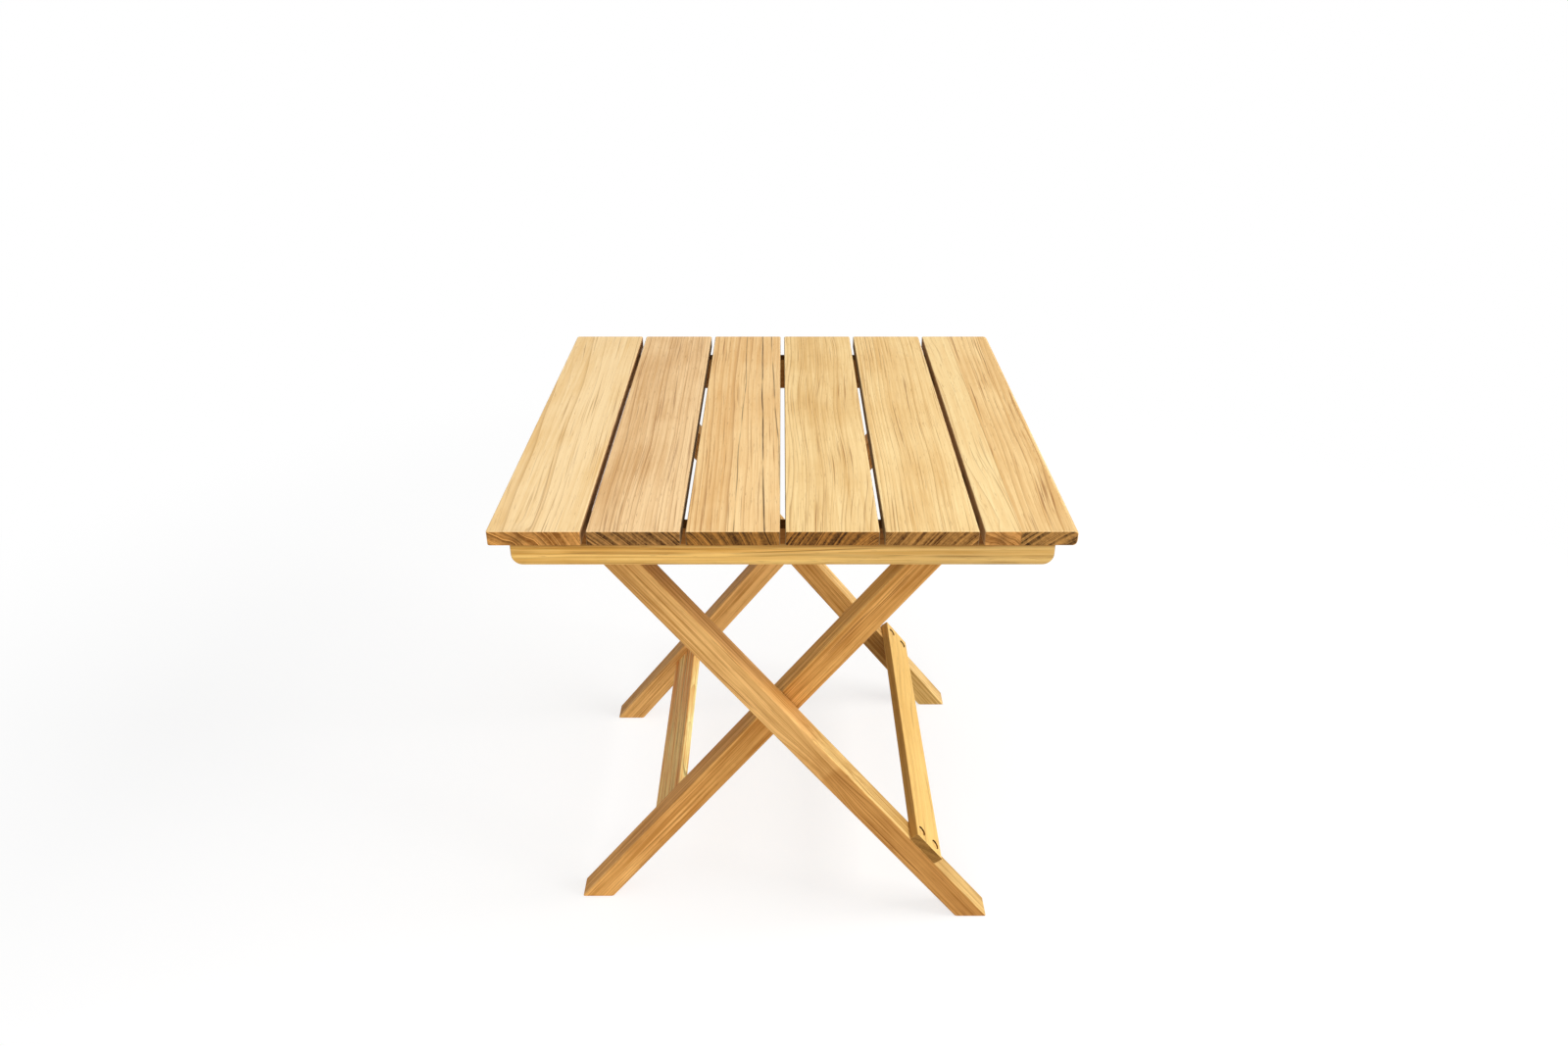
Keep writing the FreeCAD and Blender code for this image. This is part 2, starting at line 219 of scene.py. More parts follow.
def makeGrainField():
    inputs = [("Board", vectorSocket)] + listed(pithLabels + ringLabels, floatSocket)
    labels = ("Line", "Early", "Tone", "Band", "Fibre", "Hair", "Pore", "Stripe")
    tree, given, result = startGroup("grainField", inputs, listed(labels, floatSocket))

    def speckle(kind, place=given["Board"]):
        detail = grainSizes[kind + "Detail"]
        return noise(tree, stretch(tree, place, grainSizes[kind]), given["Seed"], *detail).outputs

    def weigh(value, shares):
        return mulAdd(tree, value, *grainSizes[shares])

    axes = split(tree, given["Board"])
    drift = addNode(tree, "ShaderNodeSeparateColor", {0: speckle("drift")["Color"]}).outputs
    across = minus(tree, axes["X"], given["Pith Across"])
    across = mulAdd(tree, minus(tree, drift[0], 0.5), given["Wander"], across)
    depth = minus(tree, axes["Z"], given["Pith Depth"])
    depth = mulAdd(tree, axes["Y"], given["Taper"], depth)
    depth = mulAdd(tree, minus(tree, drift[1], 0.5), given["Wander"], depth)
    squares = mulAdd(tree, across, across, times(tree, depth, depth))
    radius = calc(tree, "SQRT", squares)
    count = calc(tree, "DIVIDE", radius, given["Ring Spacing"])
    place = mulAdd(tree, count, grainSizes["unevenStep"], given["Seed"])
    uneven = minus(tree, noiseLine(tree, place), 0.5)
    phase = mulAdd(tree, uneven, grainSizes["unevenAmount"], count)
    place = mulAdd(tree, phase, grainSizes["stripeShare"], given["Seed"])
    stripe = noiseLine(tree, place, grainSizes["stripeDetail"])
    feed(tree, result["Stripe"], rise(tree, stripe, *grainSizes["stripePick"]))
    ring = calc(tree, "ADD", calc(tree, "FLOOR", phase), given["Seed"])
    part = calc(tree, "FRACT", phase)
    chance = addNode(tree, "ShaderNodeTexWhiteNoise", {"W": ring}, noise_dimensions="1D").outputs["Value"]
    strength = weigh(calc(tree, "POWER", chance, grainSizes["chancePower"]), "ringShare")
    late = calc(tree, "POWER", part, grainSizes["linePower"])
    early = rise(tree, part, *grainSizes["earlyPart"])
    feed(tree, result["Line"], times(tree, late, strength))
    feed(tree, result["Early"], times(tree, early, strength))
    feed(tree, result["Tone"], times(tree, part, weigh(strength, "toneShare")))
    band = times(tree, speckle("band")[0], grainSizes["bandShare"])
    band = mulAdd(tree, speckle("cloud")[0], grainSizes["cloudShare"], band)
    feed(tree, result["Band"], rise(tree, band, *grainSizes["bandPick"]))
    feed(tree, result["Fibre"], speckle("fibre")[0])
    follow = combine(tree, {"X": radius, "Y": axes["Y"]})  # along the rings
    feed(tree, result["Hair"], rise(tree, speckle("hair", follow)[0], *grainSizes["hairPick"]))
    picked = rise(tree, speckle("pore")[0], *grainSizes["porePick"])
    openness = weigh(rise(tree, part, *grainSizes["openPart"]), "openShare")
    feed(tree, result["Pore"], times(tree, picked, openness))
    return tree


# Marks on a board: worn arrises, streaks and knots, and painted shade round plugs
markSizes = {
    "rub": (90.0, 30.0, 90.0),
    "rubSeed": 3.0,
    "rubPick": (0.25, 0.65),
    "wobbleRate": 6.0,  # a streak's waves, per metre
    "wobble": 0.004,
    "breakRate": 13.0,  # a streak's paler stretches, per metre
    "breakSeed": 4.0,
    "breakDetail": 2.0,
    "breakPick": (0.15, 0.6),
    "streakStep": 5,  # between the seeds of a board's streaks
    "knotSquash": (1.0, 0.45, 1.0),
    "knotPower": 2.0,
    "ringShadeSquash": (1.0, 1.0, 0.0),
    "ringShadeCore": 0.4,
}


def makeEdgeWear():  # 1 along the arrises of a board, broken up a little
    inputs = listed(("Board", "Half Size"), vectorSocket) + [("Reach", floatSocket)]
    tree, given, result = startGroup("edgeWear", inputs, [("Edge", floatSocket)])
    size = vectorCalc(tree, "ABSOLUTE", given["Board"])[0]
    inside = vectorCalc(tree, "SUBTRACT", given["Half Size"], size)[0]
    x, y, z = split(tree, inside)
    near = larger(tree, calc(tree, "MINIMUM", x, y),
                  calc(tree, "MINIMUM", larger(tree, x, y), z))  # the middle one of the three
    rubbed = noise(tree, stretch(tree, given["Board"], markSizes["rub"]), markSizes["rubSeed"]).outputs[0]
    edge = rise(tree, near, given["Reach"], 0.0)
    feed(tree, result["Edge"], times(tree, edge, rise(tree, rubbed, *markSizes["rubPick"])))
    return tree


def makeStreak():  # one dark line that runs the length of a board and leans through its thickness
    labels = ("Front", "Rear", "Half Length", "Width", "Lean", "Seed")
    inputs = [("Board", vectorSocket)] + listed(labels, floatSocket)
    tree, given, result = startGroup("darkStreak", inputs, [("Streak", floatSocket)])
    x, y, z = split(tree, given["Board"])
    run = calc(tree, "DIVIDE", y, given["Half Length"])
    run = mulAdd(tree, run, 0.5, 0.5)
    span = minus(tree, given["Rear"], given["Front"])
    middle = mulAdd(tree, run, span, given["Front"])
    wobble = noiseLine(tree, mulAdd(tree, y, markSizes["wobbleRate"], given["Seed"]))
    wobble = minus(tree, wobble, 0.5)
    middle = mulAdd(tree, wobble, markSizes["wobble"], middle)
    middle = mulAdd(tree, z, given["Lean"], middle)
    off = calc(tree, "ABSOLUTE", minus(tree, x, middle))
    place = calc(tree, "ADD", given["Seed"], markSizes["breakSeed"])
    place = mulAdd(tree, y, markSizes["breakRate"], place)
    breaks = rise(tree, noiseLine(tree, place, markSizes["breakDetail"]), *markSizes["breakPick"])
    line = rise(tree, off, given["Width"], 0.0)
    feed(tree, result["Streak"], times(tree, line, breaks))
    return tree


def makeKnot():  # draws the rings in around a knot
    inputs = listed(("Board", "Place"), vectorSocket) + listed(("Reach", "Pull"), floatSocket)
    tree, given, result = startGroup("knotSwirl", inputs, [("Board", vectorSocket), ("Knot", floatSocket)])
    away = vectorCalc(tree, "SUBTRACT", given["Board"], given["Place"])[0]
    length = vectorCalc(tree, "LENGTH", stretch(tree, away, markSizes["knotSquash"]))["Value"]
    near = rise(tree, length, given["Reach"], 0.0)
    pull = times(tree, near, given["Pull"])
    shift = addNode(tree, "ShaderNodeVectorMath", {0: away, "Scale": pull}, operation="SCALE").outputs[0]
    feed(tree, result["Board"], vectorCalc(tree, "ADD", given["Board"], shift)[0])
    feed(tree, result["Knot"], calc(tree, "POWER", near, markSizes["knotPower"]))
    return tree


def makePlugRingShade():  # painted shade in the recess round a plug
    inputs = listed(("Board", "Place"), vectorSocket) + listed(("Radius", "Width"), floatSocket)
    tree, given, result = startGroup("plugRingShade", inputs, [("RingShade", floatSocket)])
    away = vectorCalc(tree, "SUBTRACT", given["Board"], given["Place"])[0]
    length = vectorCalc(tree, "LENGTH", stretch(tree, away, markSizes["ringShadeSquash"]))["Value"]
    off = calc(tree, "ABSOLUTE", minus(tree, length, given["Radius"]))
    core = times(tree, given["Width"], markSizes["ringShadeCore"])
    feed(tree, result["RingShade"], rise(tree, off, given["Width"], core))
    return tree


grainField = makeGrainField()
edgeWear = makeEdgeWear()
darkStreak = makeStreak()
knotSwirl = makeKnot()
plugRingShade = makePlugRingShade()


# The whole look of a planed and oiled board
boardMix = {
    "wearReach": 0.0035,
    "wearShare": 0.3,
    "cutStripe": 0.55,  # tones of a cut end
    "cutBand": 0.45,
    "cutFibre": 1.3,
    "cutPower": 0.8,
    "earlyTint": (1.35, 1.35, 1.35),
    "lateTint": (0.4, 0.4, 0.4),
    "streakTint": (0.25, 0.25, 0.25),
    "shadeTint": (0.95, 0.70, 0.42),
    "endFacing": (0.45, 0.8),  # how far a face has to turn to count as an end or a side
    "sideFacing": (0.45, 0.9),
    "roughness": 0.56,
    "fibreRough": 0.25,
    "shadeRough": 0.4,
    "poreRough": 0.2,
    "endRough": 0.15,
    "edgeRough": -0.08,
    "lineHeight": -0.5,
    "fibreHeight": 0.5,
}
sideLabels = ("Half Size", "Along", "Facing")
colourLabels = ("Pale", "Mid", "Dark", "End Pale", "End Dark")
amountLabels = ("Line", "Tone", "Band", "Hair", "Pore", "Fibre", "Shade", "Both Sides")


def makeOiledBoard():
    inputs = listed(("Board",) + sideLabels, vectorSocket) + listed(colourLabels, colourSocket)
    inputs += listed(pithLabels + ringLabels + amountLabels + ("Streak",), floatSocket)
    tree, given, result = startGroup("oiledBoard", inputs, surfaceOutputs)

    def add(value, share, base):
        return mulAdd(tree, value, boardMix[share], base)

    labels = ("Board",) + pithLabels + ringLabels
    grain = useGroup(tree, grainField, {label: given[label] for label in labels})
    values = {"Board": given["Board"], "Half Size": given["Half Size"], "Reach": boardMix["wearReach"]}
    edge = useGroup(tree, edgeWear, values)["Edge"]
    line = times(tree, grain["Line"], given["Line"])
    pore = times(tree, grain["Pore"], given["Pore"])
    hair = times(tree, grain["Hair"], given["Hair"])
    fibre = minus(tree, grain["Fibre"], 0.5)
    tone = times(tree, grain["Band"], given["Band"])
    tone = mulAdd(tree, grain["Tone"], given["Tone"], tone)
    tone = mulAdd(tree, fibre, given["Fibre"], tone)
    face = blend(tree, tone, given["Pale"], given["Mid"])
    face = blend(tree, larger(tree, line, larger(tree, hair, pore)), face, given["Dark"])
    # Streak also carries the painted shade round the plugs
    face = blend(tree, given["Streak"], face, given["End Dark"])
    face = blend(tree, times(tree, edge, boardMix["wearShare"]), face, given["Pale"])
    tone = add(grain["Stripe"], "cutStripe", times(tree, grain["Band"], boardMix["cutBand"]))
    tone = add(fibre, "cutFibre", tone)
    late = calc(tree, "POWER", grain["Line"], boardMix["cutPower"])
    cut = blend(tree, tone, given["End Dark"], given["End Pale"])
    cut = blend(tree, grain["Early"], cut, stretchColour(tree, given["End Pale"], boardMix["earlyTint"]))
    cut = blend(tree, late, cut, stretchColour(tree, given["End Dark"], boardMix["lateTint"]))
    cut = blend(tree, given["Streak"], cut, stretchColour(tree, given["End Dark"], boardMix["streakTint"]))
    normal = coordinates(tree, "Normal")
    turned = calc(tree, "ABSOLUTE", vectorCalc(tree, "DOT_PRODUCT", normal, given["Along"])["Value"])
    endOn = rise(tree, turned, *boardMix["endFacing"])
    colour = blend(tree, endOn, face, cut)
    turned = vectorCalc(tree, "DOT_PRODUCT", normal, given["Facing"])["Value"]
    back = times(tree, times(tree, turned, -1.0), given["Both Sides"])
    paintedShade = rise(tree, larger(tree, turned, back), *boardMix["sideFacing"])
    paintedShade = times(tree, paintedShade, given["Shade"])  # painted shade on the sides that face the given way, such as the slats' sides in the gaps
    shaded = stretchColour(tree, given["End Dark"], boardMix["shadeTint"])
    feed(tree, result["Color"], blend(tree, paintedShade, colour, shaded))
    rough = add(fibre, "fibreRough", boardMix["roughness"])
    rough = add(paintedShade, "shadeRough", rough)
    rough = add(pore, "poreRough", rough)
    rough = add(endOn, "endRough", rough)
    feed(tree, result["Roughness"], add(edge, "edgeRough", rough))
    height = add(line, "lineHeight", times(tree, fibre, boardMix["fibreHeight"]))
    feed(tree, result["Height"], minus(tree, height, grain["Pore"]))
    return tree


oiledBoard = makeOiledBoard()


# Wood materials, one for each board
boardDefaults = {
    "pale": paint(250, 216, 158), "mid": paint(222, 174, 108), "dark": paint(146, 90, 38),
    "endPale": paint(170, 118, 62), "endDark": paint(112, 68, 28),
    "pith": (0.0, -0.06), "taper": 0.012, "ringSpacing": 0.0034, "wander": 0.010,
    "line": 0.85, "tone": 0.45, "band": 0.75, "hair": 0.7, "pore": 0.45, "fibre": 1.7, "seed": 1.0,
    "knots": (),  # place, reach, pull, darkness
    "streaks": (),  # front, rear, width, lean, darkness
    "shadeRings": (),  # painted shade rings: place, radius, width, darkness
    "fades": (),  # from fade or allOver
    "facing": (1.0, 0.0, 0.0), "shade": 0.0, "bothSides": 0.0,
}
woodFinish = {"Metallic": 0.0, "Specular IOR Level": 0.1, "bump": 0.6, "bumpDepth": 0.0003}


def boardTurn(along, across):  # a board's own axes: x across, y along the grain
    third = across.cross(along)
    return Matrix((across, along, third)).transposed().to_euler()


def placeGrain(tree, look, board, marksAndShade):
    values = {label: look[keyOf(label)] for label in sideLabels + colourLabels + ringLabels + amountLabels}
    values.update(zip(pithLabels, look["pith"]))
    return useGroup(tree, oiledBoard, dict(values, Board=board, Streak=marksAndShade))


def dressBoard(tree, look, board):  # knots bend the grain, streaks and painted shade rings are laid over it
    marksAndShade = 0.0
    for place, reach, pull, darkness in look["knots"]:
        knot = useGroup(tree, knotSwirl, {"Board": board, "Place": place, "Reach": reach, "Pull": pull})
        board = knot["Board"]
        marksAndShade = larger(tree, marksAndShade, times(tree, knot["Knot"], darkness))
    for index, (front, rear, width, lean, darkness) in enumerate(look["streaks"]):
        values = {"Board": board, "Front": front, "Rear": rear, "Half Length": look["halfSize"][1],
                  "Width": width, "Lean": lean, "Seed": look["seed"] + markSizes["streakStep"] * index}
        line = useGroup(tree, darkStreak, values)["Streak"]
        marksAndShade = larger(tree, marksAndShade, times(tree, line, darkness))
    for place, radius, width, darkness in look["shadeRings"]:
        ring = useGroup(tree, plugRingShade, {"Board": board, "Place": place, "Radius": radius, "Width": width})
        marksAndShade = larger(tree, marksAndShade, times(tree, ring["RingShade"], darkness))
    grain = placeGrain(tree, look, board, marksAndShade)
    colour = grain["Color"]
    axes = split(tree, board)
    normal = coordinates(tree, "Normal")
    for axis, start, end, tint, side in look["fades"]:
        amount = rise(tree, axes[axis], start, end)
        if side:
            turned = vectorCalc(tree, "DOT_PRODUCT", normal, side)["Value"]
            amount = times(tree, amount, rise(tree, turned, *boardMix["sideFacing"]))
        colour = blend(tree, amount, colour, stretchColour(tree, colour, tint))
    return colour, grain["Roughness"], grain["Height"]


def startWood(name, look):
    material, tree = startMaterial(name)
    values = {"Vector": coordinates(tree, "Object"), "Location": look["centre"], "Rotation": look["turn"]}
    mapping = addNode(tree, "ShaderNodeMapping", values, vector_type="TEXTURE")
    return material, tree, mapping.outputs[0]


def woodMaterial(name, look):
    material, tree, board = startWood(name, look)
    finishSurface(tree, woodFinish, *dressBoard(tree, look, board))
    return material


def gluedMaterial(name, look, other, seam):  # two staves glued edge to edge
    material, tree, board = startWood(name, look)
    leftColour, leftRough, leftHeight = dressBoard(tree, look, board)
    rightColour, rightRough, rightHeight = dressBoard(tree, other, board)
    x = split(tree, board)["X"]
    side = calc(tree, "GREATER_THAN", x, seam["place"])
    off = calc(tree, "ABSOLUTE", minus(tree, x, seam["place"]))
    glue = times(tree, rise(tree, off, *seam["edge"]), seam["darkness"])
    colour = blend(tree, side, leftColour, rightColour)
    colour = blend(tree, glue, colour, other["dark"])
    change = minus(tree, rightRough, leftRough)
    roughness = mulAdd(tree, side, change, leftRough)
    change = minus(tree, rightHeight, leftHeight)
    height = mulAdd(tree, side, change, leftHeight)
    finishSurface(tree, woodFinish, colour, roughness, height)
    return material


beforeBoard = (-2.0, -1.0)  # along the grain, short of where any board starts


def fade(start, end, tint, axis="Y", side=None):  # a tint that comes in from start to end
    return (axis, start, end, tint, side)


def allOver(tint, side=None):
    return fade(*beforeBoard, tint, side=side)


def boardLook(node, along, across, **changes):
    low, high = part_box(node)
    centre = (low + high) / 2
    return dict(boardDefaults, centre=centre, along=along, turn=boardTurn(along, across), **changes)


# Geometry Nodes helpers
def startShape(name, inputs):
    sockets = [("Geometry", "NodeSocketGeometry")] + inputs + [("Material", "NodeSocketMaterial")]
    return startGroup(name, sockets, [("Geometry", "NodeSocketGeometry")], "GeometryNodeTree")


def endShape(tree, given, result, geometry):
    real = addNode(tree, "GeometryNodeRealizeInstances", {0: geometry}).outputs[0]
    values = {"Geometry": real, "Material": given["Material"]}
    feed(tree, result[0], addNode(tree, "GeometryNodeSetMaterial", values).outputs[0])


def joinShapes(tree, *parts):
    node = tree.nodes.new("GeometryNodeJoinGeometry")
    for part in parts:
        tree.links.new(part, node.inputs[0])
    return node.outputs[0]


def moveShape(tree, geometry, place):
    return addNode(tree, "GeometryNodeTransform", {"Geometry": geometry, "Translation": place}).outputs[0]


easeSteps = 4


def makePiece(name, tree, values, points=((0.0, 0.0, 0.0),), ease=0.0):
    base = bpy.data.meshes.new(name)
    base.from_pydata([tuple(p) for p in points], [], [])
    piece = bpy.data.objects.new(name, base)
    modifier = piece.modifiers.new("shape", "NODES")
    modifier.node_group = tree
    for item in tree.interface.items_tree:
        if item.in_out == "INPUT" and item.name in values:
            modifier[item.identifier] = values[item.name]
    if ease:
        bevel = piece.modifiers.new("eased", "BEVEL")
        bevel.width = ease
        bevel.segments = easeSteps
        bevel.limit_method = "WEIGHT"
        bevel.use_clamp_overlap = False
        piece.modifiers.new("normals", "WEIGHTED_NORMAL")
    scene.collection.objects.link(piece)
    graph = bpy.context.evaluated_depsgraph_get()
    shaped = piece.evaluated_get(graph)
    made = bpy.data.meshes.new_from_object(shaped, preserve_all_data_layers=True, depsgraph=graph)
    piece.modifiers.clear()
    piece.data = made
    made.name = name
    return piece


# Slats
slatSizes = {"ease": 0.0012, "lowerEase": 0.0003,
             "roundOver": 0.0045,  # along the right side of the top
             "leftCorner": 0.003, "innerCorner": 0.002, "roundSteps": 8,
             "arrisAngle": math.radians(50), "sideBand": 0.001, "weld": 1e-5}


def makeSlatShape():
    labels = ("Width", "Length", "Thickness", "Left Round", "Right Round", "Ease Share", "Lower Share",
              "Right Share")
    inputs = listed(labels, floatSocket) + [("Place", vectorSocket)]
    tree, given, result = startShape("slatShape", inputs)
    outline = addNode(tree, "GeometryNodeCurvePrimitiveQuadrilateral",
                      {"Width": given["Width"], "Height": given["Length"]}, mode="RECTANGLE")
    axes = split(tree, addNode(tree, "GeometryNodeInputPosition").outputs[0])
    onRight = calc(tree, "GREATER_THAN", axes["X"], 0.0)
    spread = minus(tree, given["Right Round"], given["Left Round"])
    radius = mulAdd(tree, onRight, spread, given["Left Round"])
    corners = addNode(tree, "GeometryNodeFilletCurve", {"Curve": outline.outputs[0], "Radius": radius,
                                                        "Count": slatSizes["roundSteps"]}, mode="POLY")
    plan = addNode(tree, "GeometryNodeFillCurve", {"Curve": corners.outputs[0]}, mode="NGONS").outputs[0]
    raised = addNode(tree, "GeometryNodeExtrudeMesh", {"Mesh": plan, "Offset Scale": given["Thickness"],
                                                       "Individual": False}, mode="FACES").outputs[0]
    under = addNode(tree, "GeometryNodeFlipFaces", {0: plan}).outputs[0]
    closed = addNode(tree, "GeometryNodeMergeByDistance", {"Geometry": joinShapes(tree, raised, under),
                                                           "Distance": slatSizes["weld"]}).outputs[0]
    edge = times(tree, given["Width"], 0.5)
    start = minus(tree, edge, slatSizes["sideBand"])
    values = {"Value": axes["X"], "From Min": start, "From Max": edge, "To Max": given["Right Share"]}
    rounded = addNode(tree, "ShaderNodeMapRange", values).outputs["Result"]
    values = {"Value": axes["Z"], "From Max": given["Thickness"],
              "To Min": given["Lower Share"], "To Max": given["Ease Share"]}
    eased = addNode(tree, "ShaderNodeMapRange", values).outputs["Result"]
    share = larger(tree, rounded, eased)
    bend = addNode(tree, "GeometryNodeInputMeshEdgeAngle").outputs["Unsigned Angle"]
    arris = calc(tree, "GREATER_THAN", bend, slatSizes["arrisAngle"])
    values = {"Geometry": closed, "Name": "bevel_weight_edge", "Value": times(tree, arris, share)}
    marked = addNode(tree, "GeometryNodeStoreNamedAttribute", values, data_type="FLOAT", domain="EDGE")
    endShape(tree, given, result, moveShape(tree, marked.outputs[0], given["Place"]))
    return tree


forward = Vector((0.0, 1.0, 0.0))
rightward = Vector((1.0, 0.0, 0.0))
upward = Vector((0.0, 0.0, 1.0))
slatShape = makeSlatShape()
slatLooks = [
    {"pale": paint(255, 224, 171), "mid": paint(237, 196, 132), "pith": (-0.072, -0.070),
     "ringSpacing": 0.0055, "taper": 0.03, "line": 0.4, "tone": 0.35, "hair": 0.45, "pore": 0.25,
     "seed": 1.3, "knots": (((-0.0128, -0.25, 0.0), 0.014, 0.9, 0.45),),
     "endPale": paint(220, 158, 84), "endDark": paint(136, 84, 32)},
    {"pale": paint(252, 216, 163), "mid": paint(217, 171, 115), "dark": paint(138, 86, 46),
     "pith": (-0.12, -0.13), "ringSpacing": 0.0026, "hair": 0.55, "seed": 2.7,
     "endPale": paint(193, 139, 76), "endDark": paint(65, 37, 11)},
    {"pale": paint(254, 218, 159), "mid": paint(229, 181, 118), "pith": (-0.062, -0.034),
     "ringSpacing": 0.0038, "line": 0.6, "seed": 3.1,
     "endPale": paint(179, 122, 55), "endDark": paint(54, 29, 6),
     "streaks": ((0.0287, 0.0202, 0.0012, -0.4, 1.0), (0.045, 0.031, 0.0010, -0.4, 0.8),
                 (0.0035, 0.004, 0.0009, -0.5, 0.7))},
    {"pale": paint(254, 222, 161), "mid": paint(226, 183, 117), "pith": (0.060, -0.048),
     "ringSpacing": 0.0027, "wander": 0.016, "seed": 4.9,
     "endPale": paint(188, 127, 58), "endDark": paint(53, 29, 7)},
    {"pale": paint(255, 224, 163), "mid": paint(231, 188, 122), "pith": (0.13, -0.11),
     "ringSpacing": 0.0030, "line": 0.65, "seed": 5.2,
     "endPale": paint(193, 139, 72), "endDark": paint(81, 46, 14)},
    {"pale": paint(255, 228, 169), "mid": paint(242, 205, 143), "pith": (-0.055, -0.05),
     "ringSpacing": 0.0040, "line": 0.4, "hair": 0.4, "seed": 6.6,
     "knots": (((-0.025, -0.25, -0.001), 0.012, 0.9, 0.45),),
     "endPale": paint(214, 154, 84), "endDark": paint(142, 89, 36)},
]
rightStave = {"pale": paint(253, 219, 158), "mid": paint(226, 181, 117), "pith": (0.10, -0.13),
              "ringSpacing": 0.0031, "line": 0.55, "seed": 7.4,
              "endPale": paint(194, 141, 75), "endDark": paint(47, 25, 6)}
gapShade = 0.7  # painted shade on the sides that face another slat
gluedSeam = {"place": -0.0093, "edge": (0.0006, 0.0001), "darkness": 0.35}  # in the last slat


def buildSlats():
    count = len(slatLooks)
    for number, changes in enumerate(slatLooks, 1):
        node = f"slat_{number}"
        low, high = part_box(node)
        size = high - low
        inner = {"shade": gapShade, "facing": -rightward if number == count else rightward,
                 "bothSides": 0.0 if number in (1, count) else 1.0}
        look = boardLook(node, forward, rightward, halfSize=size / 2, **dict(changes, **inner))
        name = f"slatWood{number}"
        if number == count:
            other = boardLook(node, forward, rightward, halfSize=size / 2, **dict(rightStave, **inner))
            wood = gluedMaterial(name, look, other, gluedSeam)
        else:
            wood = woodMaterial(name, look)
        middle = (low + high) / 2
        ease = slatSizes["roundOver"] if number == count else slatSizes["ease"]
        values = {"Width": size.x, "Length": size.y, "Thickness": size.z, "Material": wood,
                  "Left Round": slatSizes["leftCorner"] if number == 1 else slatSizes["innerCorner"],
                  "Right Round": 0.0 if number == count else slatSizes["innerCorner"],
                  "Ease Share": slatSizes["ease"] / ease, "Lower Share": slatSizes["lowerEase"] / ease,
                  "Right Share": 1.0 if number == count else 0.0,
                  "Place": (middle.x, middle.y, low.z)}
        piece = makePiece(f"slat{number}", slatShape, values, ease=ease)
        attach(piece, "tabletop")
        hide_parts(node)


buildSlats()
print("slats:", len(slatLooks))


# Bars and boards that keep their CAD shape
def dressNode(node, material):
    for slot in frame["nodes"][node].material_slots:
        slot.material = material


joints = {joint["name"]: joint for joint in frame["joints"]}
hinge = Vector(joints["top_swing"]["pos_m"])
crossing = Vector(joints["leg_fold"]["pos_m"])
frontward = -forward
outerDown = (crossing - hinge).normalized()
innerDown = Vector((-outerDown.x, 0.0, outerDown.z))
outerUpper = Vector((-outerDown.z, 0.0, outerDown.x))  # square to the outer legs' upper face
innerUpper = Vector((outerDown.z, 0.0, outerDown.x))
pairSides = (-0.5, 0.5)
halfSizes = {"leg": (0.01325, 0.36, 0.0135), "outerBoard": (0.02175, 0.201, 0.005),
             "innerBoard": (0.02175, 0.145, 0.005), "batten": (0.0085, 0.239, 0.01825),
             "rest": (0.011, 0.039, 0.012), "rod": (0.009, 0.157, 0.009)}


# Battens and the rod's rests
# facing and shade paint shade on the upward faces, which lie under the slats and the rod
battenLook = {"pale": paint(254, 210, 125), "mid": paint(220, 165, 79), "dark": paint(136, 88, 32),
              "endPale": paint(186, 134, 66), "endDark": paint(124, 80, 34), "pith": (-0.06, 0.04),
              "ringSpacing": 0.0036, "taper": 0.02, "line": 0.55, "fibre": 2.8, "facing": upward,
              "shade": 0.9}
battenStreaks = ((-0.0035, 0.0025, 0.003, -1.0, 0.3),)
# painted shade for the faces under the top
underTopShade = (0.28, 0.21, 0.14)
# all but toRight are painted shade and shadow; toRight is the wood's own tone
battenFades = {
    "shadowBelowSlats": fade(0.0040, -0.0047, (0.25, 0.16, 0.09), "Z", frontward),  # painted shadow under the overhanging slats
    "shadeAtLowEdge": fade(0.0125, 0.0180, (0.80, 0.78, 0.78), "Z", frontward),
    "toRight": fade(-0.08, 0.18, (0.81, 0.82, 0.89)),
    "shadeInGaps": allOver((0.55, 0.50, 0.38), upward),
    "shadedRearFace": allOver(underTopShade, forward),
    "shadedFrontFace": allOver(underTopShade, frontward),
}
battens = {
    "front_batten": {"seed": 11.2, "fades": ("shadowBelowSlats", "shadeAtLowEdge", "toRight", "shadeInGaps", "shadedRearFace")},
    "rear_batten": {"seed": 12.9, "fades": ("shadeInGaps", "shadedFrontFace")},
}
restSeeds = {"rod_rest_front": 13.4, "rod_rest_rear": 14.1}


def dressBattens():
    for name, batten in battens.items():
        fades = [battenFades[key] for key in batten["fades"]]
        changes = dict(battenLook, streaks=battenStreaks, seed=batten["seed"], fades=fades)
        look = boardLook(name, rightward, forward, halfSize=halfSizes["batten"], **changes)
        dressNode(name, woodMaterial(name.replace("_b", "B") + "Wood", look))
    for name, seed in restSeeds.items():
        look = boardLook(name, rightward, upward, halfSize=halfSizes["rest"], **dict(battenLook, seed=seed))
        dressNode(name, woodMaterial(name.replace("_", "") + "Wood", look))


